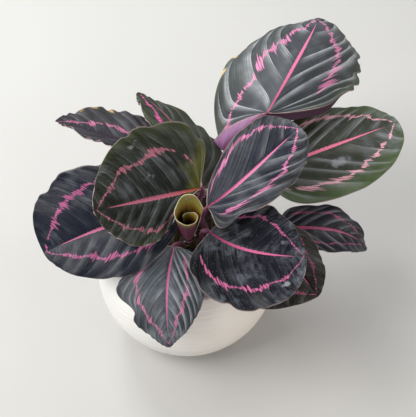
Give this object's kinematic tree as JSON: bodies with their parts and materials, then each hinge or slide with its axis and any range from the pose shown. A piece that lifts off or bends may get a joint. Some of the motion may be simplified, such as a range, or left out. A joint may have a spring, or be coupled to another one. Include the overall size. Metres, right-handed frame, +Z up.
{
  "type": "potted calathea",
  "caption": "Young prayer plant with broad dark pink-marked leaves on stalks, standing in a round glazed bowl pot filled with soil.",
  "frame": {"origin": "centre of the pot's flat underside, which is the part's lowest point", "axes": "+Z up along the pot's axis, -Y towards the viewer, +X to the viewer's right"},
  "size_m": [0.3008, 0.2946, 0.1897],
  "materials": {
    "glaze": "satin cream-white glaze on stoneware",
    "soil": "loose dark potting mix with white perlite",
    "leaf_dark": "satin blue-black leaf with a pink rib and a feathered pink ring",
    "leaf_olive": "satin olive green leaf with a pink rib and a feathered pink ring",
    "leaf_young": "satin yellow-green inside, purple outside",
    "stalk": "purple-red skin with fine hairs"
  },
  "bodies": {
    "root": {"pot": "glaze", "soil": "soil", "blade_high_back": "leaf_dark", "blade_centre": "leaf_dark", "blade_right": "leaf_olive", "blade_high_left": "leaf_olive", "blade_low_left": "leaf_dark", "blade_front": "leaf_dark", "blade_front_right": "leaf_dark", "blade_low_right": "leaf_dark", "blade_small_right": "leaf_dark", "blade_small_left": "leaf_dark", "blade_back": "leaf_dark", "blade_rolled": "leaf_young", "stalk_high_back": "stalk", "stalk_centre": "stalk", "stalk_right": "stalk", "stalk_high_left": "stalk", "stalk_low_left": "stalk", "stalk_front": "stalk", "stalk_front_right": "stalk", "stalk_low_right": "stalk", "stalk_small_right": "stalk", "stalk_small_left": "stalk", "stalk_back": "stalk", "stalk_rolled": "stalk"}
  },
  "joints": []
}
